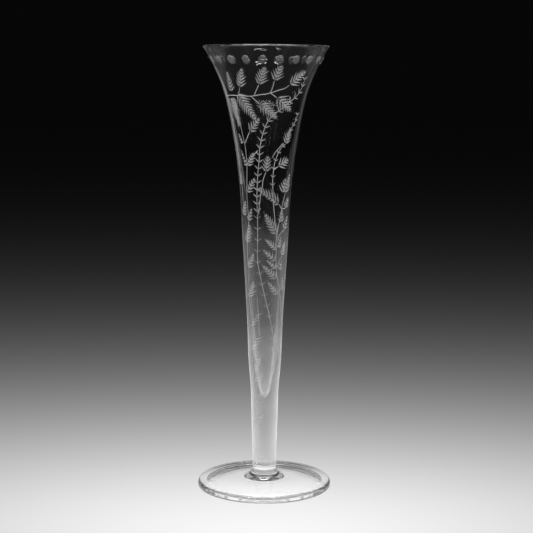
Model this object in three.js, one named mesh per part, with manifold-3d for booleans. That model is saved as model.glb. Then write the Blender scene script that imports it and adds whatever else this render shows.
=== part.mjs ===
// Lily vase of clear glass in millimetres, +Z up, standing on z = 0 with its axis on the Z axis.
// A blown trumpet is drawn out below into a solid stem. A flared joining pad holds the stem to a
// thick disc foot. A ring of shallow cut dots runs round the rim and another round the foot.
import * as THREE from 'three';
import { mergeVertices } from 'three/addons/utils/BufferGeometryUtils.js';
import Module from 'manifold-3d';

// Driving dimensions
const HEIGHT = 356;
const SEGMENTS = 48;

// Trumpet: outer points are [radius, height], from the stem's lower end up to the lip
const STEM_FOOT = 16;
const STEM_RADIUS = 9.6;
const OUTER = [
  [9.9, 32], [10.8, 60], [11.2, 80], [13.2, 106], [14.5, 140], [18.0, 200],
  [21.4, 250], [27.0, 290], [33.8, 320], [42.0, 340],
];
// Inner points run down from the lip to the pointed end of the hollow
const INNER = [
  [39.5, 340.6], [31.4, 320.8], [24.3, 290.6], [18.2, 250], [13.6, 200],
  [10.3, 153], [7.8, 118], [5.4, 96], [3.6, 83.5], [2.0, 76.5],
];
const HOLLOW_TIP = 73;
const LIP_RADIUS = 1.1;
const LIP_CENTRE = 49.2;
const LIP_LEAN = THREE.MathUtils.degToRad(30);
const LIP_STEPS = 6;
const OUTER_STEPS = 22;
const INNER_STEPS = 20;

// Joining pad: its side is a hollow quarter ellipse from the stem out to the foot
const PAD_FOOT = 7.5;
const PAD_RADIUS = 18.4;
const PAD_STEPS = 4;

// Foot: a disc that is highest under the pad, with a rounded edge. Underneath, a shallow hollow
// rises from the ground rest ring to the pontil mark.
const FOOT_RADIUS = 54.4;
const FOOT_EDGE_ROUND = 1.7;
const FOOT_EDGE_TOP = 5.2;
const FOOT_EDGE_SOFT = 1.9;
const FOOT_EDGE_END = THREE.MathUtils.degToRad(81);
const FOOT_TOP_BEND = [31.3, 6.75];
const REST_RING_INNER = 47;
const UNDERSIDE_RISE = 4.2;
const UNDERSIDE_BEND = 37;
const PONTIL_RADIUS = 3;
const UNDERSIDE_STEPS = 5;
const FOOT_SIDE_STEPS = 3;

// Cut dots: the first one's angle is measured from the front (-Y) towards +X
const RIM_DOTS = { count: 21, first: -3.2, height: 344.7, diameter: 6.8, depth: 0.4 };
const FOOT_DOTS = { count: 22, first: 360 / 44, radius: 44.6, diameter: 6, depth: 0.4 };
// The grinding tool, as parts of a dot's radius where its bowl has rings, and times a dot's depth
const TOOL_RINGS = [0, 0.6, 1.3];
const TOOL_HEIGHT = 3;
const TOOL_SEGMENTS = 10;

const wasm = await Module();
wasm.setup();

const CLEAR_GLASS = { color: 0xdfe5e4, roughness: 0.04, metalness: 0, transparent: true, opacity: 0.35 };

// A closed surface of revolution about Z, one vertex to a place and no zero-area triangles
function lathe(points, segments = SEGMENTS) {
  const turned = new THREE.LatheGeometry(points, segments);
  turned.rotateX(Math.PI / 2);
  turned.deleteAttribute('normal');
  turned.deleteAttribute('uv');
  const merged = mergeVertices(turned, 1e-4);
  const corners = merged.index.array;
  const kept = [];
  for (let i = 0; i < corners.length; i += 3) {
    const [a, b, c] = [corners[i], corners[i + 1], corners[i + 2]];
    if (a !== b && b !== c && c !== a) kept.push(a, b, c);
  }
  merged.setIndex(kept);
  return merged;
}

function toSolid(geometry) {
  return new wasm.Manifold(new wasm.Mesh({
    numProp: 3,
    vertProperties: geometry.attributes.position.array,
    triVerts: Uint32Array.from(geometry.index.array),
  }));
}

function toGeometry(solid) {
  const mesh = solid.getMesh();
  const geometry = new THREE.BufferGeometry();
  geometry.setAttribute('position', new THREE.BufferAttribute(mesh.vertProperties, 3));
  geometry.setIndex(new THREE.BufferAttribute(mesh.triVerts, 1));
  geometry.computeVertexNormals();
  return geometry;
}

function spline(points, steps) {
  return new THREE.SplineCurve(points.map(([r, z]) => new THREE.Vector2(r, z))).getPoints(steps);
}

// The grinding wheel's print: a shallow bowl of a sphere, open upwards, around its own Z axis
function dotCutter({ diameter, depth }) {
  const reach = diameter / 2;
  const sphere = (reach * reach + depth * depth) / (2 * depth);
  const bowl = TOOL_RINGS.map((part) => {
    const out = part * reach;
    return new THREE.Vector2(out, sphere - depth - Math.sqrt(sphere * sphere - out * out));
  });
  const top = TOOL_HEIGHT * depth;
  bowl.push(new THREE.Vector2(bowl.at(-1).x, top), new THREE.Vector2(0, top));
  return lathe(bowl, TOOL_SEGMENTS);
}

// Cuts a ring of dots at one radius and height, square to a surface that leans by the given slope
function cutDots(body, dots, radius, height, lean) {
  let solid = toSolid(body);
  const cutter = dotCutter(dots);
  for (let i = 0; i < dots.count; i += 1) {
    const angle = THREE.MathUtils.degToRad(dots.first + (360 * i) / dots.count);
    const outward = new THREE.Vector3(Math.sin(angle), -Math.cos(angle), 0);
    const normal = outward.clone().multiplyScalar(Math.cos(lean)).setZ(Math.sin(lean));
    const turn = new THREE.Quaternion().setFromUnitVectors(new THREE.Vector3(0, 0, 1), normal);
    const place = new THREE.Matrix4().makeRotationFromQuaternion(turn);
    place.setPosition(outward.x * radius, outward.y * radius, height);
    solid = solid.subtract(toSolid(cutter.clone().applyMatrix4(place)));
  }
  return toGeometry(solid);
}

// The point of an outline at a height, and the angle of the surface's normal there above level
function surfaceAt(points, height) {
  const above = points.findIndex((point) => point.y > height);
  const [low, high] = [points[above - 1], points[above]];
  const share = (height - low.y) / (high.y - low.y);
  return {
    radius: THREE.MathUtils.lerp(low.x, high.x, share),
    lean: Math.atan2(low.x - high.x, high.y - low.y),
  };
}

// The same on the upper side of an outline, at a radius
function topAt(points, radius) {
  const inside = points.findLastIndex((point) => point.x > radius) + 1;
  const [far, near] = [points[inside - 1], points[inside]];
  const share = (far.x - radius) / (far.x - near.x);
  return {
    height: THREE.MathUtils.lerp(far.y, near.y, share),
    lean: Math.atan2(far.x - near.x, near.y - far.y),
  };
}

function trumpetBody() {
  const lipHeight = HEIGHT - LIP_RADIUS;
  const lip = new THREE.EllipseCurve(
    LIP_CENTRE, lipHeight, LIP_RADIUS, LIP_RADIUS, -LIP_LEAN, Math.PI - LIP_LEAN,
  ).getPoints(LIP_STEPS);
  const outer = spline([[STEM_RADIUS, STEM_FOOT], ...OUTER, lip.at(0).toArray()], OUTER_STEPS);
  const inner = spline([lip.at(-1).toArray(), ...INNER, [0, HOLLOW_TIP]], INNER_STEPS);
  const points = [new THREE.Vector2(0, STEM_FOOT), ...outer, ...lip.slice(1), ...inner.slice(1)];
  const { radius, lean } = surfaceAt(outer, RIM_DOTS.height);
  return cutDots(lathe(points), RIM_DOTS, radius, RIM_DOTS.height, lean);
}

function joiningPad() {
  const outline = new THREE.Path();
  outline.moveTo(0, PAD_FOOT);
  outline.lineTo(PAD_RADIUS, PAD_FOOT);
  outline.absellipse(
    PAD_RADIUS, STEM_FOOT, PAD_RADIUS - STEM_RADIUS, STEM_FOOT - PAD_FOOT,
    1.5 * Math.PI, Math.PI, true,
  );
  outline.lineTo(0, STEM_FOOT);
  return lathe(outline.getPoints(PAD_STEPS));
}

function foot() {
  const edge = FOOT_RADIUS - FOOT_EDGE_ROUND;
  const underside = new THREE.Path();
  underside.moveTo(0, UNDERSIDE_RISE);
  underside.lineTo(PONTIL_RADIUS, UNDERSIDE_RISE);
  underside.quadraticCurveTo(UNDERSIDE_BEND, UNDERSIDE_RISE, REST_RING_INNER, 0);
  underside.lineTo(edge, 0);
  const side = new THREE.Path();
  side.absellipse(edge, FOOT_EDGE_ROUND, FOOT_EDGE_ROUND, FOOT_EDGE_ROUND, -0.5 * Math.PI, 0);
  side.absellipse(
    FOOT_RADIUS - FOOT_EDGE_SOFT, FOOT_EDGE_ROUND, FOOT_EDGE_SOFT, FOOT_EDGE_TOP - FOOT_EDGE_ROUND,
    0, FOOT_EDGE_END,
  );
  side.quadraticCurveTo(...FOOT_TOP_BEND, PAD_RADIUS, PAD_FOOT);
  const points = [
    ...underside.getPoints(UNDERSIDE_STEPS), ...side.getPoints(FOOT_SIDE_STEPS).slice(1),
  ];
  const { height, lean } = topAt(points, FOOT_DOTS.radius);
  points.push(new THREE.Vector2(0, PAD_FOOT));
  return cutDots(lathe(points), FOOT_DOTS, FOOT_DOTS.radius, height, lean);
}

function piece(name, geometry) {
  const mesh = new THREE.Mesh(geometry, new THREE.MeshStandardMaterial(CLEAR_GLASS));
  mesh.name = name;
  return mesh;
}

const vase = new THREE.Group();
vase.add(piece('trumpet_body', trumpetBody()));
vase.add(piece('joining_pad', joiningPad()));
vase.add(piece('foot', foot()));

export default vase;
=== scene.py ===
import math

import bpy
import numpy as np
from mathutils import Euler, Matrix, Vector


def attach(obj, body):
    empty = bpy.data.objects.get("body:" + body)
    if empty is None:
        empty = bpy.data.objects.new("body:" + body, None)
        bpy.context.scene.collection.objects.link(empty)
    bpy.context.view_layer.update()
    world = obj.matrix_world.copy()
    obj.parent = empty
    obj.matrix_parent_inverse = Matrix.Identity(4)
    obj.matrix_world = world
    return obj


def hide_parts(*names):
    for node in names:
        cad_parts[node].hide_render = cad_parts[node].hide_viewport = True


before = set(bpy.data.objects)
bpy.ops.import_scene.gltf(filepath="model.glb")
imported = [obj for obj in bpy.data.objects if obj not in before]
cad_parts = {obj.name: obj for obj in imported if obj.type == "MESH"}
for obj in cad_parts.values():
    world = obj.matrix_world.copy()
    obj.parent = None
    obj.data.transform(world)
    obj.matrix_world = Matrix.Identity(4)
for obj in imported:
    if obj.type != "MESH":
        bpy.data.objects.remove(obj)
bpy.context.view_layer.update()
mm = 0.001                      # in metres

print("stage 1: camera, floor and light")


def linked(name, data):
    # a new object in the scene
    made = bpy.data.objects.new(name, data)
    bpy.context.scene.collection.objects.link(made)
    return made


def opaque(level):
    # a grey as a colour that nothing shows through
    return (level, level, level, 1)


camera = {
    "height": 0.3262,           # metres: a little below the rim
    "distance": 1.0682,
    "aside": 0.00105,
    "tiltDown": 7.76,           # degrees
    "roll": -0.275,
    "lens": 90.43,              # millimetres
    "sensor": 36,
    "seesFrom": 0.05,           # metres
    "seesTo": 50,
}

cameraData = bpy.data.cameras.new("camera")
cameraData.lens = camera["lens"]
cameraData.sensor_width = camera["sensor"]
cameraData.clip_start = camera["seesFrom"]
cameraData.clip_end = camera["seesTo"]
cameraObject = linked("camera", cameraData)
stand = Matrix.Translation((camera["aside"], -camera["distance"], camera["height"]))
aim = Euler((math.radians(90 - camera["tiltDown"]), 0, 0)).to_matrix()
roll = Matrix.Rotation(math.radians(-camera["roll"]), 3, "Z")
cameraObject.matrix_world = stand @ (aim @ roll).to_4x4()
bpy.context.scene.camera = cameraObject


class Maths:  # wraps a socket, so that shader maths is written as Python expressions
    def __init__(self, tree, socket):
        self.tree = tree
        self.socket = socket

    def do(self, operation, *values):
        return node(self.tree, "Math", {"operation": operation}, *values)

    def __add__(self, other):
        return self.do("ADD", self, other)

    def __radd__(self, other):
        return self.do("ADD", other, self)

    def __sub__(self, other):
        return self.do("SUBTRACT", self, other)

    def __rsub__(self, other):
        return self.do("SUBTRACT", other, self)

    def __mul__(self, other):
        return self.do("MULTIPLY", self, other)

    def __rmul__(self, other):
        return self.do("MULTIPLY", other, self)

    def __truediv__(self, other):
        return self.do("DIVIDE", self, other)

    def power(self, other):
        return self.do("POWER", self, other)

    def maximum(self, other):
        return self.do("MAXIMUM", self, other)

    def minimum(self, other):
        return self.do("MINIMUM", self, other)

    def absolute(self):
        return self.do("ABSOLUTE", self)

    def exponent(self):
        return self.do("EXPONENT", self)


def node(tree, kind, settings=None, *inputs, out=0, **named):
    # One node: its settings first, then the values or links of its sockets, in order or by name.
    # What comes back is its output of the given number or name, or the node if it has no output.
    made = tree.nodes.new("ShaderNode" + kind)
    for key, value in (settings or {}).items():
        if key == "stops":
            ramp = made.color_ramp
            ramp.interpolation = "EASE"
            while len(ramp.elements) < len(value):
                ramp.elements.new(0.5)
            for element, (place, level) in zip(ramp.elements, value):
                element.position = place
                element.color = opaque(level)
        else:
            setattr(made, key, value)
    sockets = list(zip(made.inputs, inputs))
    sockets += [(made.inputs[name.replace("_", " ")], value) for name, value in named.items()]
    for socket, value in sockets:
        if isinstance(value, Maths):
            tree.links.new(value.socket, socket)
        else:
            socket.default_value = value
    return Maths(tree, made.outputs[out]) if len(made.outputs) else made


def emptyTree(owner):
    owner.use_nodes = True
    owner.node_tree.nodes.clear()
    return owner.node_tree


def axesOf(tree, place):
    # the X, Y and Z of a vector
    split = node(tree, "SeparateXYZ", None, place).socket.node
    return [Maths(tree, output) for output in split.outputs]


def grey(tree, level):
    return node(tree, "CombineColor", None, level, level, level)


def seenRays(tree):
    # 1 for rays from the eye, and for those that gloss and glass send on
    eye, gloss, through = (node(tree, "LightPath", out=f"Is {kind} Ray")
                           for kind in ("Camera", "Glossy", "Transmission"))
    return eye.maximum(gloss).maximum(through)


# The eye, glass and gloss see a painted pool of light on the floor round the vase, which fades to near
# black far away. Glass and gloss also see a painted soft glow on the floor behind at both sides, a dim room
# overhead and painted brighter light on the floor under the foot. Matt surfaces get an even light instead,
# and more from the sides.
pool = {
    "centre": -0.12,            # metres, as all lengths here: the pool's middle on Y
    "wide": 0.63,               # sideways it fades by this much less
    "front": 14.0,              # and in front by this much more
    "straight": 0.2,            # its front edge bends back beyond this far aside
    "bend": 1.1,                # how steeply
    "reach": 0.41,              # where it starts to fade
    "knee": 1.7,                # how suddenly it starts
    "fade": 3.1,                # the power of distance that it fades with
    "level": 0.945,
    "dark": 0.002,              # far floor and everything above it
    "glowAside": 0.55,
    "glowBehind": 1.0,
    "glowWidth": 0.25,
    "glowDepth": 0.45,
    "glow": 0.03,
    "shadowRing": 0.0512,       # the thin painted shadow on the floor under the foot's edge, behind the stem
    "shadowWidth": 0.0022,
    "shadowStart": 0.2,         # how far behind the axis it starts, in parts of its radius
    "shadowRise": 1.5,          # and how fast it darkens from there
    "shadow": 0.85,
    "fill": 0.26,
    "sideFill": 18.0,           # how much more comes from the sides
    "sideFrom": 0.75,           # where that starts, as a direction's X
    "dome": 0.1,                # what glass and gloss see overhead, a dim room
    "domeFoot": 0.16,           # where it starts, as a direction's Z
    "domeSpread": 0.3,          # and how far it takes to reach its level
    "underFoot": 0.3,           # painted light: how much brighter the floor under the foot is painted, seen through the glass
    "underEdge": 0.057,
    "underSoft": 0.01,
    "floorRadius": 12.0,
    "floorSides": 96,
    "floorDrop": 0.0004,        # it lies this far below the foot
    "floorColour": 0.8,
}

world = bpy.data.worlds.new("studio")
bpy.context.scene.world = world
tree = emptyTree(world)
toward = axesOf(tree, node(tree, "TexCoord", out="Generated"))
rise = ((toward[2] - pool["domeFoot"]) / pool["domeSpread"]).maximum(0).minimum(1)
notEye = 1 - node(tree, "LightPath", out="Is Camera Ray")
room = node(tree, "Background", None, grey(tree, pool["dark"] + pool["dome"] * rise * notEye), 1.0)
even = pool["fill"] + pool["sideFill"] * (toward[0].absolute() - pool["sideFrom"]).maximum(0)
fill = node(tree, "Background", None, grey(tree, even), 1.0)
node(tree, "OutputWorld", None, node(tree, "MixShader", None, seenRays(tree), fill, room))


def poolLight(aside, back):
    # The painted pool's light falls with a stretched distance d from the pool's middle as
    # (1 + (d / reach)^knee)^(-fade / knee). In front of its bent front edge d grows many times faster.
    bent = back - pool["bend"] * (aside.absolute() - pool["straight"]).maximum(0)
    stretched = back.maximum(-pool["front"] * bent)
    distance = (stretched.power(2) + (pool["wide"] * aside).power(2)).power(0.5)
    grown = 1 + (distance / pool["reach"]).power(pool["knee"])
    return pool["level"] * grown.power(-pool["fade"] / pool["knee"])


# to the eye, glass and gloss the floor is painted light: an emission that is no lamp paints its pool, glow
# and shadow
floorMaterial = bpy.data.materials.new("paleFloorPaintedLight")
tree = emptyTree(floorMaterial)
aside, ahead = axesOf(tree, node(tree, "TexCoord", out="Object"))[:2]
# painted pool of light round the vase
light = poolLight(aside, ahead - pool["centre"])
radius = (aside * aside + ahead * ahead).power(0.5)
# painted glow on the floor behind at both sides
offWide = (aside.absolute() - pool["glowAside"]) / pool["glowWidth"]
offDeep = (ahead - pool["glowBehind"]) / pool["glowDepth"]
glow = pool["glow"] * (-1 * (offWide * offWide + offDeep * offDeep)).exponent()
# painted shadow: a thin dark ring on the floor under the foot's edge, behind the stem
offRing = (radius - pool["shadowRing"]) / pool["shadowWidth"]
behind = (pool["shadowRise"] * (ahead / pool["shadowRing"] - pool["shadowStart"]).maximum(0)).minimum(1)
shaded = light * (1 - pool["shadow"] * (-1 * offRing * offRing).exponent() * behind)
# painted light: glass and gloss see the floor under the foot brighter, standing in for light the foot gathers
under = ((pool["underEdge"] - radius) / pool["underSoft"]).maximum(0).minimum(1)
notEye = 1 - node(tree, "LightPath", out="Is Camera Ray")
seen = shaded * (1 + pool["underFoot"] * under * notEye) + glow * notEye + pool["dark"]
# the floor glows with this painted light, though it is no lamp
shining = node(tree, "Emission", None, grey(tree, seen), 1.0)
pale = node(tree, "BsdfDiffuse", None, opaque(pool["floorColour"]))
node(tree, "OutputMaterial", None, node(tree, "MixShader", None, seenRays(tree), pale, shining))

turns = np.linspace(0, 2 * np.pi, pool["floorSides"], endpoint=False)
rim = np.stack([np.cos(turns), np.sin(turns)], -1) * pool["floorRadius"]
floorMesh = bpy.data.meshes.new("floor")
floorMesh.from_pydata(np.c_[rim, 0 * turns - pool["floorDrop"]].tolist(), [], [list(range(len(rim)))])
floorMesh.materials.append(floorMaterial)
linked("floor", floorMesh)

# Lamps out of the eye's sight. Angles are round the vase from the front, in degrees, lengths are in
# metres, and the level is how bright a lamp's face is. The stands light the glass's outline, the lamp
# behind lights the top of the foot, and the one above lights the lip and the cuts. The two narrow ones
# high up in front give glints among the rim's dots.
lamps = {
    "leftStand": {"angle": -149, "lift": 0.15, "away": 1.6, "size": (0.45, 0.34), "level": 0.26},
    "rightStand": {"angle": 149, "lift": 0.15, "away": 1.6, "size": (0.4, 0.34), "level": 0.07},
    "behind": {"angle": 180, "lift": 2.25, "away": 4.0, "size": (3.4, 2.9), "level": 0.25},
    "above": {"angle": 180, "lift": 2.2, "away": 0.35, "size": (1.2, 1.0), "level": 7.0, "down": True},
    "glint": {"angle": 16, "lift": 2.15, "away": 1.15, "size": (0.75, 0.08), "level": 24, "down": True},
    "farGlint": {"angle": -33, "lift": 2.15, "away": 1.2, "size": (0.3, 0.07), "level": 24, "down": True},
}
lampAim = Vector((0, 0, 0.2))       # what those that don't face straight down face

for name, lamp in lamps.items():
    light = bpy.data.lights.new(name, "AREA")
    light.shape = "RECTANGLE"
    light.size, light.size_y = lamp["size"]
    light.energy = lamp["level"] * math.pi * light.size * light.size_y
    lightObject = linked(name, light)
    turn = math.radians(lamp["angle"])
    lightObject.location = (math.sin(turn) * lamp["away"], -math.cos(turn) * lamp["away"], lamp["lift"])
    if not lamp.get("down"):
        towards = lampAim - lightObject.location
        lightObject.rotation_euler = towards.to_track_quat("-Z", "Y").to_euler()
    lightObject.visible_camera = False

print("stage 2: outlines")


def splineCurve(points, count):
    # Catmull-Rom: each stretch is a cubic whose slope at a point is half the step between its neighbours
    points = np.asarray(points, float)
    padded = np.vstack([points[:1], points, points[-1:]])
    at = np.linspace(0, len(points) - 1, count)
    i = np.minimum(at.astype(int), len(points) - 2)
    t = (at - i)[:, None]
    a, b, c, d = (padded[i + k] for k in range(4))
    start, end = (c - a) / 2, (d - b) / 2
    cubic, square = 2 * b - 2 * c + start + end, 3 * c - 3 * b - 2 * start - end
    return (cubic * t + square) * t * t + start * t + b


def arcCurve(centre, across, up, first, last, count):
    # an ellipse's arc between two angles in degrees
    angle = np.radians(np.linspace(first, last, count))
    return np.array(centre) + np.stack([across * np.cos(angle), up * np.sin(angle)], -1)


def bowCurve(start, pull, end, count):
    # a quadratic curve that leaves its start and meets its end towards the pulling point
    t = np.linspace(0, 1, count)[:, None]
    return (1 - t) ** 2 * np.array(start) + 2 * t * (1 - t) * np.array(pull) + t ** 2 * np.array(end)


def evenly(points, count):
    # the same curve with its points at equal steps of length
    run = np.r_[0, np.cumsum(np.hypot(*np.diff(points, axis=0).T))]
    at = np.linspace(0, run[-1], count)
    return np.stack([np.interp(at, run, points[:, 0]), np.interp(at, run, points[:, 1])], -1)


splineSteps = 2000              # points of a spline before they are evened out

# Outlines are in millimetres, radius then height, with the solids' sizes
trumpet = {
    "stemFoot": 16, "stemRadius": 9.6, "height": 356,
    "outer": [(9.9, 32), (10.8, 60), (11.2, 80), (13.2, 106), (14.5, 140), (18.0, 200),
              (21.4, 250), (27.0, 290), (33.8, 320), (42.0, 340)],
    "inner": [(39.5, 340.6), (31.4, 320.8), (24.3, 290.6), (18.2, 250), (13.6, 200),
              (10.3, 153), (7.8, 118), (5.4, 96), (3.6, 83.5), (2.0, 76.5)],
    "hollowTip": 73, "lipRadius": 1.1, "lipCentre": 49.2, "lipLean": 30,
    "segments": 160, "outerRings": 130, "innerRings": 90, "lipRings": 13,
}
pad = {"foot": 7.5, "radius": 18.4, "segments": 128, "sideRings": 40}
foot = {
    "radius": 54.4, "edgeRound": 1.7, "edgeTop": 5.2, "edgeSoft": 1.9, "edgeEnd": 81,
    "topBend": (31.3, 6.75), "restRing": 47, "rise": 4.2, "undersideBend": 37, "pontil": 3,
    "segments": 192, "hollowRings": 60, "lowRings": 13, "highRings": 16, "topRings": 50,
}

# The materials of a piece, by slot. Each stretch of an outline has one, and so has each cutting body.
glassSlot, seamSlot, strokeSlot, dotSlot, lineSlot, hollowSlot = range(6)


def trumpetRuns():
    # the smooth stretches of the outline, in order, each with its slot
    lipHeight = trumpet["height"] - trumpet["lipRadius"]
    lip = arcCurve((trumpet["lipCentre"], lipHeight), trumpet["lipRadius"], trumpet["lipRadius"],
                   -trumpet["lipLean"], 180 - trumpet["lipLean"], trumpet["lipRings"])
    low = (trumpet["stemRadius"], trumpet["stemFoot"])
    outer = splineCurve([low, *trumpet["outer"], lip[0]], splineSteps)
    inner = splineCurve([lip[-1], *trumpet["inner"], (0, trumpet["hollowTip"])], splineSteps)
    seam = np.array([(0, trumpet["stemFoot"]), low])
    return [(seam, seamSlot), (np.vstack([evenly(outer, trumpet["outerRings"]), lip[1:]]), glassSlot),
            (evenly(inner, trumpet["innerRings"]), hollowSlot)]


def padRuns():
    side = arcCurve((pad["radius"], trumpet["stemFoot"]), pad["radius"] - trumpet["stemRadius"],
                    trumpet["stemFoot"] - pad["foot"], 270, 180, pad["sideRings"])
    return [(np.array([(0, pad["foot"]), side[0]]), seamSlot), (side, glassSlot),
            (np.array([side[-1], (0, trumpet["stemFoot"])]), seamSlot)]


def footRuns():
    edge, bend = foot["radius"] - foot["edgeRound"], foot["edgeRound"]
    hollow = bowCurve((foot["pontil"], foot["rise"]), (foot["undersideBend"], foot["rise"]),
                      (foot["restRing"], 0), foot["hollowRings"])
    low = arcCurve((edge, bend), bend, bend, -90, 0, foot["lowRings"])
    high = arcCurve((foot["radius"] - foot["edgeSoft"], bend), foot["edgeSoft"], foot["edgeTop"] - bend,
                    0, foot["edgeEnd"], foot["highRings"])
    top = bowCurve(high[-1], foot["topBend"], (pad["radius"], pad["foot"]), foot["topRings"])
    return [(np.vstack([[(0, foot["rise"])], hollow]), glassSlot),
            (np.array([hollow[-1], low[0]]), glassSlot),
            (np.vstack([low, high[1:], top[1:]]), glassSlot),
            (np.array([top[-1], (0, pad["foot"])]), seamSlot)]


print("stage 3: glass")


def meshFrom(name, vertices, corners, sizes, normals, slots):
    # corners index the vertices, face by face; every corner has its true normal and every face its slot
    mesh = bpy.data.meshes.new(name)
    mesh.vertices.add(len(vertices))
    mesh.vertices.foreach_set("co", np.ravel(vertices).astype(np.float32))
    mesh.loops.add(len(corners))
    mesh.loops.foreach_set("vertex_index", corners.astype(np.int32))
    mesh.polygons.add(len(sizes))
    mesh.polygons.foreach_set("loop_start", np.r_[0, np.cumsum(sizes)[:-1]].astype(np.int32))
    mesh.update(calc_edges=True)
    slotOf = mesh.attributes.new("slot", "INT", "FACE").data
    slotOf.foreach_set("value", np.asarray(slots, np.int32))
    trueNormal = mesh.attributes.new("trueNormal", "FLOAT_VECTOR", "CORNER").data
    trueNormal.foreach_set("vector", np.ravel(normals).astype(np.float32))
    return mesh


def aroundAxis(square, turn):
    # a normal in the outline's plane, carried round the axis to each angle
    square, turn = square[:, None], turn[None]
    carried = (square[..., 0] * np.cos(turn), square[..., 0] * np.sin(turn), square[..., 1])
    return np.stack(np.broadcast_arrays(*carried), -1)


def turnedMesh(name, runs, segments):
    # A surface of revolution: the outline's radius goes round the axis and its height along it.
    # Points on the axis are one vertex each. Normals are square to each smooth run of the outline.
    points = np.vstack([runs[0][0]] + [run[1:] for run, slot in runs[1:]]) * mm
    starts, ends = [], []
    for run, slot in runs:
        steps = np.diff(run, axis=0)
        steps = steps / np.hypot(*steps.T)[:, None]
        along = np.vstack([steps[:1], steps[:-1] + steps[1:], steps[-1:]])
        square = np.stack([along[:, 1], -along[:, 0]], -1) / np.hypot(*along.T)[:, None]
        starts.append(square[:-1])
        ends.append(square[1:])
    starts, ends = np.vstack(starts), np.vstack(ends)
    slots = np.concatenate([np.full(len(run) - 1, slot) for run, slot in runs])
    angle = np.linspace(0, 2 * np.pi, segments, endpoint=False)
    following, middle = np.roll(angle, -1), angle + np.pi / segments
    radius, height = points[1:-1, :1], points[1:-1, 1:]
    rings = np.stack(np.broadcast_arrays(radius * np.cos(angle), radius * np.sin(angle), height), -1)
    vertices = np.vstack([[(0, 0, points[0, 1])], rings.reshape(-1, 3), [(0, 0, points[-1, 1])]])
    low = 1 + np.arange(len(rings) - 1)[:, None] * segments + np.arange(segments)
    step = np.roll(np.arange(segments), -1) - np.arange(segments)
    quads = np.stack([low, low + step, low + segments + step, low + segments], -1)
    quadNormals = np.stack([aroundAxis(starts[1:-1], angle), aroundAxis(starts[1:-1], following),
                            aroundAxis(ends[1:-1], following), aroundAxis(ends[1:-1], angle)], -2)
    first = 1 + np.arange(segments)
    final, last = first + (len(rings) - 1) * segments, len(vertices) - 1
    bottom = np.stack([0 * first, first + step, first], -1)
    bottomNormals = np.stack([aroundAxis(starts[:1], middle), aroundAxis(ends[:1], following),
                              aroundAxis(ends[:1], angle)], -2)
    top = np.stack([0 * first + last, final, final + step], -1)
    topNormals = np.stack([aroundAxis(ends[-1:], middle), aroundAxis(starts[-1:], angle),
                           aroundAxis(starts[-1:], following)], -2)
    corners = np.concatenate([bottom.ravel(), quads.ravel(), top.ravel()])
    sizes = np.repeat([3, 4, 3], [segments, quads.size // 4, segments])
    normals = np.concatenate([part.reshape(-1, 3) for part in (bottomNormals, quadNormals, topNormals)])
    return meshFrom(name, vertices, corners, sizes, normals, np.repeat(slots, segments))


glass = {
    "index": 1.52,              # of refraction
    "waves": 0.02,              # how strong the surface's slow waves are
    "waveScale": 28.0,
    "waveDepth": 0.002,         # metres
    "filmColour": 0.86,
    "filmRoughness": 0.6,
    "grazing": 0.05,            # the least cosine at which the film is seen
    # the film's thickness at parts of the vase's height, on the outside and in the hollow
    "outerFilm": [(0.04, 0.14), (0.1, 0.45), (0.18, 0.35), (0.24, 0.28), (0.32, 0.18), (0.4, 0.07),
                  (0.56, 0.035), (0.63, 0.0)],
    "hollowFilm": [(0.2, 0.0), (0.28, 0.01), (0.34, 0.05), (0.4, 0.09), (0.56, 0.075), (0.63, 0.0)],
    "astray": 0.7,              # below this cosine between them, a face's normal replaces its corner's
}

# Cuts are ground glass, but for the foot's polished dots: some of the light passes and is scattered, and
# the rest is sent back as from chalk.
cuts = {
    "frostedCut": {"colour": 0.82, "through": 0.75, "roughness": 0.45, "grain": 2600, "strength": 0.25},
    "brightLine": {"colour": 0.9, "through": 0.58, "roughness": 0.4, "grain": 2600, "strength": 0.25},
    "groundDot": {"colour": 0.82, "through": 0.88, "roughness": 0.09, "grain": 1200, "strength": 0.05},
    "polishedDot": {"colour": 1.0, "through": 1.0, "roughness": 0.06, "grain": 1200, "strength": 0.03},
}
grainDepth = 0.0002             # metres


def glassMaterial(name, film=None):
    # Clear glass with slow waves. A pale film of thickness t covers 1 - e^(-t / c) of it, c being the
    # cosine between its normal and the line of sight.
    material = bpy.data.materials.new(name)
    tree = emptyTree(material)
    place = node(tree, "TexCoord", out="Object")
    slow = node(tree, "TexNoise", {"noise_dimensions": "3D"}, Vector=place, Scale=glass["waveScale"],
                Detail=1.0)
    bump = node(tree, "Bump", None, Strength=glass["waves"], Distance=glass["waveDepth"], Height=slow)
    surface = node(tree, "BsdfPrincipled", None, Base_Color=opaque(1), Roughness=0.0, IOR=glass["index"],
                   Transmission_Weight=1.0, Normal=bump)
    if film:
        height = axesOf(tree, place)[2] / (trumpet["height"] * mm)
        cosine = (1 - node(tree, "LayerWeight", None, 0.5, out="Facing")).maximum(glass["grazing"])
        covered = 1 - (-1 * (node(tree, "ValToRGB", {"stops": film}, height) / cosine)).exponent()
        paleFilm = node(tree, "BsdfPrincipled", None, Base_Color=opaque(glass["filmColour"]),
                        Roughness=glass["filmRoughness"])
        surface = node(tree, "MixShader", None, covered, surface, paleFilm)
    node(tree, "OutputMaterial", None, surface)
    return material


def seamMaterial(name):
    # where two gathers were fused there is no surface, so light goes straight through
    material = bpy.data.materials.new(name)
    tree = emptyTree(material)
    surface = node(tree, "BsdfPrincipled", None, Base_Color=opaque(1), Alpha=0.0)
    node(tree, "OutputMaterial", None, surface)
    return material


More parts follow.
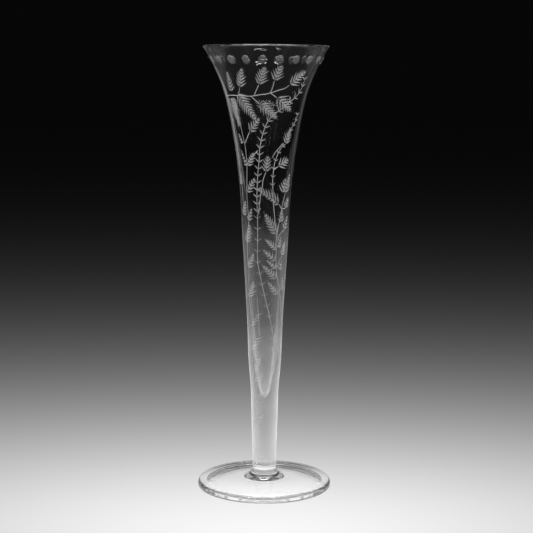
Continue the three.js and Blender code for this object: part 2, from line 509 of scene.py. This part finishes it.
def cutMaterial(name, colour, through, roughness, grain, strength):
    material = bpy.data.materials.new(name)
    tree = emptyTree(material)
    place = node(tree, "TexCoord", out="Object")
    ground = node(tree, "TexNoise", {"noise_dimensions": "3D"}, Vector=place, Scale=grain, Detail=3.0)
    bump = node(tree, "Bump", None, Strength=strength, Distance=grainDepth, Height=ground)
    surface = node(tree, "BsdfPrincipled", None, Base_Color=opaque(colour), Roughness=roughness,
                   IOR=glass["index"], Transmission_Weight=through, Normal=bump)
    node(tree, "OutputMaterial", None, surface)
    return material


clearGlass = glassMaterial("clearGlass")
hazyGlass = glassMaterial("hazyGlass", glass["outerFilm"])
hollowGlass = glassMaterial("hollowGlass", glass["hollowFilm"])
fusedSeam = seamMaterial("fusedSeam")
cutGlass = {name: cutMaterial(name, **cut) for name, cut in cuts.items()}

print("stage 4: cut dots and engraving")

# Dots are in millimetres, and the first one's angle in degrees from the front. The foot's are shallower
# than in the solids, because polishing has left them as mere ripples in its shine.
rimDots = {"count": 21, "first": -3.2, "height": 344.7, "diameter": 6.8, "depth": 0.4}
footDots = {"count": 22, "first": 360 / 44, "radius": 44.6, "diameter": 6, "depth": 0.07}
wheel = {
    "rings": [0.35, 0.7, 0.9, 1.0, 1.16, 1.16],     # where a dot's bowl has rings, in parts of its radius
    "lid": 3.5,                                     # how high its lid is, in parts of its depth
    "segments": 28,
}

engraving = {                   # millimetres, with angles in degrees from the front
    "strokeWidth": 1.8, "ribWidth": 0.85, "stemWidth": 0.72, "combWidth": 0.8,
    "depth": {strokeSlot: 0.15, lineSlot: 0.4},     # as a share of the width
    "proud": 0.05,              # how far the cutting bodies stand out of the glass
    "clear": 0.6,               # cuts nearer than this to each other aren't made in one pass
    "seed": 3,
    # how the widths thin out towards a cut's start and its end
    "leafTaper": (0.2, 1.1), "leafletTaper": (0.35, 0.8), "combTaper": (0.25, 0.7),
    "ribTaper": (0.1, 0.5), "stemTaper": (0.06, 0.06),
    # points along a straight cut, a stem's cut and a frond's stem, and how many measure gaps between cuts
    "strokePoints": 5, "stemPoints": 64, "frondPoints": 400, "strokeSamples": 9, "stemSamples": 300,
    # a leaf's strokes: the step between pairs, where the first and the last start in parts of its length,
    # their slants, their reach there in parts of the leaf's, and how uneven they are
    "pairStep": 3.43, "leastPairs": 3, "firstStart": 0.03, "lastStart": 0.79, "firstSlant": 46,
    "lastSlant": 32, "firstReach": 1.08, "lastReach": 0.26, "reachCurve": 1.3, "uneven": 0.14,
    "ribOver": 1.06,            # the midrib's length in parts of the leaf's
    # a leaflet's slant: its parts along the stem and away from it; and how far back the stem is sighted
    "leafletAhead": 0.66, "leafletAside": 0.75, "sight": 2,
    # each leaf: base angle and height, tip angle and height, how far its strokes reach left and right
    "leaves": [
        (-35.5, 323.5, -26.5, 339, 4.8, 5.6), (-9, 325.5, -1, 340, 5, 6.2),
        (10, 328.5, 16.5, 341, 5, 5.8), (30.5, 326, 51, 337, 5.6, 6.4),
        (14.5, 316, 41.5, 305, 6.4, 6.2), (-9, 311, 19, 299, 5.4, 5.2),
        (-42, 319, -12, 296, 6.4, 6.4), (-27.5, 289.5, -8.5, 300.5, 5.2, 4.4),
        (-61.5, 316, -45, 290.5, 7, 5.4), (-53, 320, -49, 337, 4, 5),
        (-52.5, 316.5, -50, 289, 3.8, 3.8), (-45.5, 280, -54, 288.5, 2.2, 2.2),
        (-41, 262.5, -53.5, 276, 2, 2.2), (-64, 247, -62.5, 259, 4, 3),
        (-37.5, 262.5, -22.5, 274, 3, 4.4), (-44.5, 241.5, -21.5, 254, 3.8, 4.2),
        (0.5, 258, 4.5, 271.5, 4.6, 4.8), (32.5, 232.5, -25, 246, 2.8, 7.2),
        (26, 262.5, 49.5, 268, 5.4, 5.4), (38, 280, 45.5, 292, 5, 4), (39.5, 241.5, 47.5, 253, 5, 3),
        (49, 241, 61, 257.5, 4, 5), (53.5, 229, 63, 238, 4, 4), (-60.5, 222.5, -51, 235.5, 4, 3.4),
        (-43, 219, -33.5, 229.5, 3, 3.4), (-52.5, 201, -40, 217.5, 4, 4.6),
        (-52, 181, -30, 194, 3.2, 4.2), (-55, 157, -35, 171.5, 3, 5.4),
        (28, 208.5, -4.5, 226.5, 4.8, 6), (29, 196.5, -2.5, 205, 3, 4),
        (28.5, 187.5, -9, 197, 3.6, 4), (30.5, 181.5, 2, 188, 2.8, 2.8),
        (33, 173, -10, 184.5, 4.4, 4), (40.5, 160, 5, 171, 3.8, 3.4),
        (40, 218, 41.5, 228.5, 3.4, 3.4), (53.5, 212, 65, 223, 4.4, 3.4),
        (37, 197.5, 42.5, 207, 2.6, 2.6), (50.5, 191, 59.5, 203, 4, 3.4),
        (44.5, 179.5, 49.5, 187.5, 2.6, 2.6), (58.5, 162, 61, 174, 3.6, 3),
    ],
    # each comb: its lowest stroke's ends, its highest stroke's ends, angle and height, and how many strokes
    "combs": [
        (-56, 133.5, -24.5, 137, -35, 142, -4.5, 145, 4),
        (-55, 114, -21, 117, -33.5, 123, -5, 125.5, 4),
        (-46, 101, -9.5, 103, -36, 106, -5.5, 108, 4),
        (-50.5, 87.5, -8.5, 90, -37.5, 93, 1, 95, 4),
        (-47, 69, -23, 72.5, -32.5, 76, -7.5, 79, 4),
        (-57.5, 52, -8.5, 55, -36.5, 58, 0.5, 61, 4),
    ],
    # each stem: its points, angle and height
    "stems": [
        [(-67, 317), (-51.5, 317.5), (-34.5, 317), (-19.5, 317), (-8.5, 318), (-0.5, 318.5), (6, 319.5),
         (16.5, 321.5), (24.5, 323), (30.5, 325.5)],
        [(-40.5, 317), (-38, 320), (-35.5, 323.5)],
        [(-16, 317.5), (-12.5, 321.5), (-9, 325.5)],
        [(6, 319.5), (8.5, 324), (10, 328.5)],
        [(6, 319.5), (10.5, 317.5), (14.5, 316)],
        [(-21, 317), (-15, 314), (-9, 311)],
        [(-16, 224), (-14, 232), (-10.5, 240), (-7, 246.5), (-5, 252), (0.5, 258)],
        [(-48, 50.5), (-45, 69), (-44, 87), (-39.5, 100.5), (-45, 107.5), (-50, 115), (-49, 124.5),
         (-47, 134.5), (-51, 147), (-55, 157), (-53.5, 169.5), (-52, 181), (-53.5, 191.5), (-52.5, 201),
         (-49, 210), (-43, 219), (-45.5, 230), (-45.5, 241.5), (-43, 251.5), (-40, 262), (-39.5, 271.5),
         (-40.5, 280), (-43.5, 288.5), (-45.5, 297)],
        [(-40, 280), (-33.5, 285), (-27.5, 289.5)],
        [(-24.5, 270.5), (-14.5, 275)],
        [(71.5, 129.5), (56, 150.5), (50.5, 158), (43.5, 166.5), (36, 173), (32.5, 179.5), (30, 188),
         (29, 196.5), (28, 209), (25, 215), (21.5, 224), (18.5, 233), (16.5, 242.5), (15, 249.5),
         (15.5, 256.5), (17, 263.5), (20, 268.5), (24.5, 273.5), (30, 277.5), (38, 280)],
        [(40.5, 282), (46, 290.5), (50.5, 295), (56, 299), (57, 304.5)],
        [(16, 259.5), (21, 261), (26, 262.5)],
        [(12, 269), (18, 273.5), (25, 277), (31.5, 280.5)],
        [(29.5, 205.5), (33, 215), (38, 223), (40.5, 229.5), (45, 236.5), (49, 241)],
        [(32.5, 232.5), (40, 229), (53.5, 229)],
        [(31.5, 203), (38, 208), (53.5, 212)],
        [(34, 181.5), (41.5, 187), (50.5, 191)],
        [(-23, 157.5), (-23, 151.5), (-21.5, 144), (-19, 135.5), (-18, 125.5)],
        [(-61.5, 223.5), (-62, 243), (-61.5, 259), (-62, 271), (-63.5, 282), (-65, 290.5), (-63.5, 300)],
    ],
    # each frond: its stem's points from the tip down, and its paired leaflets' spacing, length and width
    "fronds": [
        ([(53, 332), (53.5, 329), (53, 324), (49, 319), (41.5, 315), (33.5, 312), (25, 308), (16, 304.5),
          (8.5, 301), (3, 297.5), (-1.5, 292.5), (-5, 288), (-8.5, 281.5), (-11, 275.5), (-12.5, 267.5),
          (-15.5, 258), (-18, 248), (-19.5, 236), (-19, 224)], 5.6, 4.8, 1.2),
        ([(-19, 225.5), (-19, 208), (-20.5, 192), (-19, 183.5), (-13, 174.5), (-6.5, 165.5), (3.5, 154),
          (14, 143.5), (21.5, 134.5), (29, 125), (35, 117), (39, 106)], 9, 4.4, 0.7),
        ([(38, 280), (30, 277.5), (24.5, 273.5), (20, 268.5), (17, 263.5), (15.5, 256.5), (15, 249.5),
          (16.5, 242.5)], 6.5, 3.2, 1.1),
        ([(57, 304.5), (56, 299), (50.5, 295), (46, 290.5), (40.5, 282)], 4.6, 3.6, 1.2),
    ],
}
outerWall = trumpetRuns()[1][0][:trumpet["outerRings"]]
straight = np.linspace(0, 1, engraving["strokePoints"])[:, None]


def onWall(place):
    # an angle and a height give the point on the outer wall, and its normal, which leans by the wall's slope
    angle, height = np.radians(place[..., 0]), place[..., 1]
    radius = np.interp(height, outerWall[:, 1], outerWall[:, 0])
    slope = np.interp(height, outerWall[:, 1], np.gradient(outerWall[:, 0], outerWall[:, 1]))
    outward = np.stack([np.sin(angle), -np.cos(angle)], -1)
    point = np.concatenate([outward * radius[..., None], height[..., None]], -1)
    normal = np.concatenate([outward, -slope[..., None]], -1)
    return point, normal / np.linalg.norm(normal, axis=-1, keepdims=True)


def degreeWidth(height):
    # how many millimetres a degree is round the outer wall at a height
    return np.radians(1) * np.interp(height, outerWall[:, 1], outerWall[:, 0])


def leafPaths():
    # Pairs of straight strokes leave the leaf's midrib at a slant. They get shorter towards its tip.
    hand = np.random.default_rng(engraving["seed"])
    paths, ribs = [], []
    for angle, height, tipAngle, tipHeight, left, right in engraving["leaves"]:
        turn = degreeWidth((height + tipHeight) / 2)
        rib = np.array([(tipAngle - angle) * turn, tipHeight - height])
        length = np.hypot(*rib)
        ahead = rib / length
        aside = np.array([-ahead[1], ahead[0]])
        pairs = max(engraving["leastPairs"], round(length / engraving["pairStep"]) + 1)
        t = np.linspace(0, 1, pairs)
        firstStart, firstReach = engraving["firstStart"], engraving["firstReach"]
        start = (firstStart + (engraving["lastStart"] - firstStart) * t) * length
        slant = np.radians(engraving["firstSlant"] + (engraving["lastSlant"] - engraving["firstSlant"]) * t)
        shorter = firstReach + (engraving["lastReach"] - firstReach) * t ** engraving["reachCurve"]
        ribs.append(straight * rib * engraving["ribOver"] / (turn, 1) + (angle, height))
        for side, reach in ((1, left), (-1, right)):
            out = reach * shorter * (1 + engraving["uneven"] * hand.uniform(-1, 1, pairs))
            end = (start + out / np.tan(slant))[:, None] * ahead + side * out[:, None] * aside
            stroke = start[:, None, None] * ahead * (1 - straight) + end[:, None] * straight
            paths.append(stroke / (turn, 1) + (angle, height))
    return np.concatenate(paths), np.stack(ribs)


def combPaths():
    # strokes are spread evenly from a comb's lowest to its highest
    paths = []
    for *ends, count in engraving["combs"]:
        low, lowEnd, high, highEnd = np.reshape(ends, (4, 2))
        t = np.linspace(0, 1, count)[:, None, None]
        start, end = low + t * (high - low), lowEnd + t * (highEnd - lowEnd)
        paths.append(start + straight * (end - start))
    return np.concatenate(paths)


def leafletPaths():
    # Leaflets leave a frond's stem in pairs, at a slant towards its tip, at equal steps of its length
    paths, widths = [], []
    for stem, spacing, length, width in engraving["fronds"]:
        places = splineCurve(stem, engraving["frondPoints"])
        point, normal = onWall(places)
        run = np.r_[0, np.cumsum(np.linalg.norm(np.diff(point, axis=0), axis=1))]
        at = np.arange(spacing / 2, run[-1], spacing)
        place, before = (np.stack([np.interp(where, run, places[:, i]) for i in (0, 1)], -1)
                         for where in (at, at - engraving["sight"]))
        scale = np.stack([degreeWidth(place[:, 1]), np.ones(len(at))], -1)
        ahead = (before - place) * scale
        ahead /= np.linalg.norm(ahead, axis=1, keepdims=True)
        aside = np.stack([-ahead[:, 1], ahead[:, 0]], -1)
        for side in (1, -1):
            end = length * (engraving["leafletAhead"] * ahead + side * engraving["leafletAside"] * aside)
            paths.append(place[:, None] + straight * end[:, None] / scale[:, None])
            widths.append(np.full(len(at), width))
    return np.concatenate(paths), np.concatenate(widths)


def boatBodies(paths, widths, taper, depth):
    # Each stroke is a boat-shaped body along its path, t running from 0 to 1. Its half width goes with
    # t^taper[0] * (1 - t)^taper[1], and its keel is as deep as a fixed share of the width there.
    count, stations = paths.shape[:2]
    point, normal = onWall(paths)
    along = np.gradient(point, axis=1)
    along /= np.linalg.norm(along, axis=-1, keepdims=True)
    across = np.cross(normal, along)
    t = np.linspace(0, 1, stations)
    share = t ** taper[0] * (1 - t) ** taper[1]
    half = (widths[:, None] / 2 * share / share.max())[..., None]
    deck = point + normal * engraving["proud"]
    keel = point - normal * half * 2 * depth
    middle = np.stack([deck - across * half, keel, deck + across * half], 2)[:, 1:-1].reshape(count, -1, 3)
    vertices = np.concatenate([deck[:, :1], middle, deck[:, -1:]], 1)
    rung = 1 + 3 * np.arange(stations - 3)[:, None]
    around = ((0, 1, 4), (0, 4, 3), (1, 2, 5), (1, 5, 4), (2, 0, 3), (2, 3, 5))
    sides = [rung + np.array(face) for face in around]
    a, b, c, last = np.arange(4) + 3 * (stations - 2) - 2
    ends = np.array([(0, 2, 1), (0, 3, 2), (0, 1, 3), (a, b, last), (b, c, last), (c, a, last)])
    faces = np.concatenate([*sides, ends])
    every = (faces + (np.arange(count) * (last + 1))[:, None, None]).reshape(-1, 3)
    return vertices.reshape(-1, 3), every


def apart(paths, widths, samples):
    # Strokes that touch are cut one after the other: each gets the first pass that none of its neighbours has
    point, normal = onWall(paths)
    at, stations = np.linspace(0, 1, samples), np.linspace(0, 1, paths.shape[1])
    fine = np.stack([np.stack([np.interp(at, stations, stroke[:, i]) for i in range(3)], -1)
                     for stroke in point])
    passes = np.zeros(len(point), int)
    for i in range(1, len(point)):
        gap = np.linalg.norm(fine[:i, :, None] - fine[i], axis=-1).min((1, 2))
        taken = set(passes[:i][gap < (widths[:i] + widths[i]) / 2 + engraving["clear"]])
        passes[i] = min(set(range(len(taken) + 1)) - taken)
    return passes


def toolMesh(name, vertices, faces, normals, slot):
    # a cutting body, whose corners carry the normals that the glass has where it is cut
    sizes = np.full(len(faces), 3)
    return meshFrom(name, vertices * mm, faces.ravel(), sizes, normals, np.full(len(faces), slot))


def strokeTools(name, paths, width, taper, slot, samples=engraving["strokeSamples"]):
    widths = np.broadcast_to(width, len(paths))
    passes = apart(paths, widths, samples)
    tools = []
    for i in range(passes.max() + 1):
        vertices, faces = boatBodies(paths[passes == i], widths[passes == i], taper, engraving["depth"][slot])
        a, b, c = (vertices[faces[:, k]] for k in range(3))
        flat = np.cross(b - a, c - a)
        flat /= -np.linalg.norm(flat, axis=1, keepdims=True)
        tools.append(toolMesh(f"{name}{i}", vertices, faces, np.repeat(flat, 3, 0), slot))
    return tools


def dotTool(name, point, normal, dots):
    # Each dot is a bowl of a sphere: at a distance d from its middle it is (R^2 - d^2)^0.5 below the
    # sphere's centre. The last ring stands up straight to a flat lid above the glass.
    reach, depth, segments = dots["diameter"] / 2, dots["depth"], wheel["segments"]
    sphere = (reach ** 2 + depth ** 2) / (2 * depth)
    out = reach * np.array(wheel["rings"])
    up = sphere - depth - np.sqrt(sphere ** 2 - out ** 2)
    up[-1] = wheel["lid"] * depth
    level = np.stack([-normal[:, 1], normal[:, 0], 0 * normal[:, 0]], -1)
    level /= np.linalg.norm(level, axis=1, keepdims=True)
    steep = np.cross(normal, level)
    angle = np.linspace(0, 2 * np.pi, segments, endpoint=False)
    ring = np.cos(angle)[:, None] * level[:, None] + np.sin(angle)[:, None] * steep[:, None]
    rings = point[:, None, None] + out[:, None, None] * ring[:, None]
    rings = rings + up[:, None, None] * normal[:, None, None]
    bottom, lid = point - depth * normal, point + up[-1] * normal
    vertices = np.concatenate([bottom[:, None], rings.reshape(len(point), -1, 3), lid[:, None]], 1)
    low = 1 + segments * np.arange(len(out) - 1)[:, None] + np.arange(segments)
    step = np.roll(np.arange(segments), -1) - np.arange(segments)
    high, last = low + segments, segments * len(out) + 1
    first, final = low[0], high[-1]
    fans = ((0 * first, first + step, first), (low, low + step, high + step), (low, high + step, high),
            (0 * final + last, final, final + step))
    faces = np.concatenate([np.stack(fan, -1).reshape(-1, 3) for fan in fans])
    every = (faces + (np.arange(len(point)) * (last + 1))[:, None, None]).reshape(-1, 3)
    toCentre = (point + (sphere - depth) * normal)[:, None] - vertices
    toCentre /= np.linalg.norm(toCentre, axis=-1, keepdims=True)
    return toolMesh(name, vertices.reshape(-1, 3), every, toCentre.reshape(-1, 3)[every.ravel()], dotSlot)


def rimDotTool():
    angle = rimDots["first"] + 360 / rimDots["count"] * np.arange(rimDots["count"])
    point, normal = onWall(np.stack([angle, 0 * angle + rimDots["height"]], -1))
    return dotTool("rimDots", point, normal, rimDots)


def footDotTool():
    angle = np.radians(footDots["first"] + 360 / footDots["count"] * np.arange(footDots["count"]))
    top = footRuns()[2][0][::-1][:foot["topRings"]]
    height = np.interp(footDots["radius"], top[:, 0], top[:, 1])
    slope = np.interp(footDots["radius"], top[:, 0], np.gradient(top[:, 1], top[:, 0]))
    outward = np.stack([np.sin(angle), -np.cos(angle)], -1)
    point = np.c_[outward * footDots["radius"], 0 * angle + height]
    normal = np.c_[outward * -slope, 0 * angle + 1] / math.hypot(slope, 1)
    return dotTool("footDots", point, normal, footDots)


def carved(mesh, tools):
    # takes the tools away from the glass one after the other; faces keep their slot and corners their normal
    host = linked("uncutGlass", mesh)
    objects = [host]
    for tool in tools:
        cutter = linked(tool.name, tool)
        objects.append(cutter)
        cut = host.modifiers.new(tool.name, "BOOLEAN")
        cut.operation = "DIFFERENCE"
        cut.solver = "MANIFOLD"
        cut.object = cutter
    graph = bpy.context.evaluated_depsgraph_get()
    result = bpy.data.meshes.new_from_object(host.evaluated_get(graph))
    for made in objects:
        bpy.data.objects.remove(made)
    return result


def cornerNormals(mesh):
    # the true normals, but the face's own on the slivers that a cut leaves
    normals = np.zeros(len(mesh.loops) * 3, np.float32)
    mesh.attributes["trueNormal"].data.foreach_get("vector", normals)
    normals = normals.reshape(-1, 3)
    normals /= np.maximum(np.linalg.norm(normals, axis=1, keepdims=True), 1e-6)
    faceNormals, sizes = np.zeros(len(mesh.polygons) * 3, np.float32), np.zeros(len(mesh.polygons), np.int32)
    mesh.polygons.foreach_get("normal", faceNormals)
    mesh.polygons.foreach_get("loop_total", sizes)
    flat = np.repeat(faceNormals.reshape(-1, 3), sizes, 0)
    astray = (flat * normals).sum(1) < glass["astray"]
    normals[astray] = flat[astray]
    return normals


def glassPiece(name, nodeName, runs, segments, material, tools=(), dotFinish="groundDot"):
    mesh = turnedMesh(name, runs, segments)
    if tools:
        mesh = carved(mesh, tools)
        mesh.name = name
    slots = np.zeros(len(mesh.polygons), np.int32)
    mesh.attributes["slot"].data.foreach_get("value", slots)
    normals = cornerNormals(mesh)
    mesh.attributes.remove(mesh.attributes["trueNormal"])
    mesh.attributes.remove(mesh.attributes["slot"])
    materials = {glassSlot: material, seamSlot: fusedSeam, strokeSlot: cutGlass["frostedCut"],
                 dotSlot: cutGlass[dotFinish], lineSlot: cutGlass["brightLine"], hollowSlot: hollowGlass}
    mesh.materials.clear()
    for slot in sorted(materials):
        mesh.materials.append(materials[slot])
    mesh.polygons.foreach_set("material_index", slots)
    mesh.shade_smooth()
    mesh.normals_split_custom_set(normals)
    piece = linked(name, mesh)
    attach(piece, "root")
    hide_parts(nodeName)
    print("  ", name, len(mesh.polygons), "faces")


leaves, ribs = leafPaths()
leaflets, leafletWidths = leafletPaths()
stemLines = engraving["stems"] + [frond[0] for frond in engraving["fronds"]]
stems = np.stack([splineCurve(stem, engraving["stemPoints"]) for stem in stemLines])
tools = [rimDotTool()]
tools += strokeTools("leaves", leaves, engraving["strokeWidth"], engraving["leafTaper"], strokeSlot)
tools += strokeTools("leaflets", leaflets, leafletWidths, engraving["leafletTaper"], strokeSlot)
tools += strokeTools("combs", combPaths(), engraving["combWidth"], engraving["combTaper"], lineSlot)
tools += strokeTools("ribs", ribs, engraving["ribWidth"], engraving["ribTaper"], lineSlot)
tools += strokeTools("stems", stems, engraving["stemWidth"], engraving["stemTaper"], lineSlot,
                     engraving["stemSamples"])
print("  ", len(tools), "passes,", len(leaves) + len(leaflets), "strokes")
glassPiece("trumpetGlass", "trumpet_body", trumpetRuns(), trumpet["segments"], hazyGlass, tools)
glassPiece("padGlass", "joining_pad", padRuns(), pad["segments"], clearGlass)
glassPiece("footGlass", "foot", footRuns(), foot["segments"], clearGlass, [footDotTool()], "polishedDot")

print("stage 5: light paths and view transform")

cycles = bpy.context.scene.cycles
cycles.max_bounces = 32
cycles.transmission_bounces = 32
cycles.glossy_bounces = 16
cycles.transparent_max_bounces = 32
bpy.context.scene.view_settings.view_transform = "Standard"
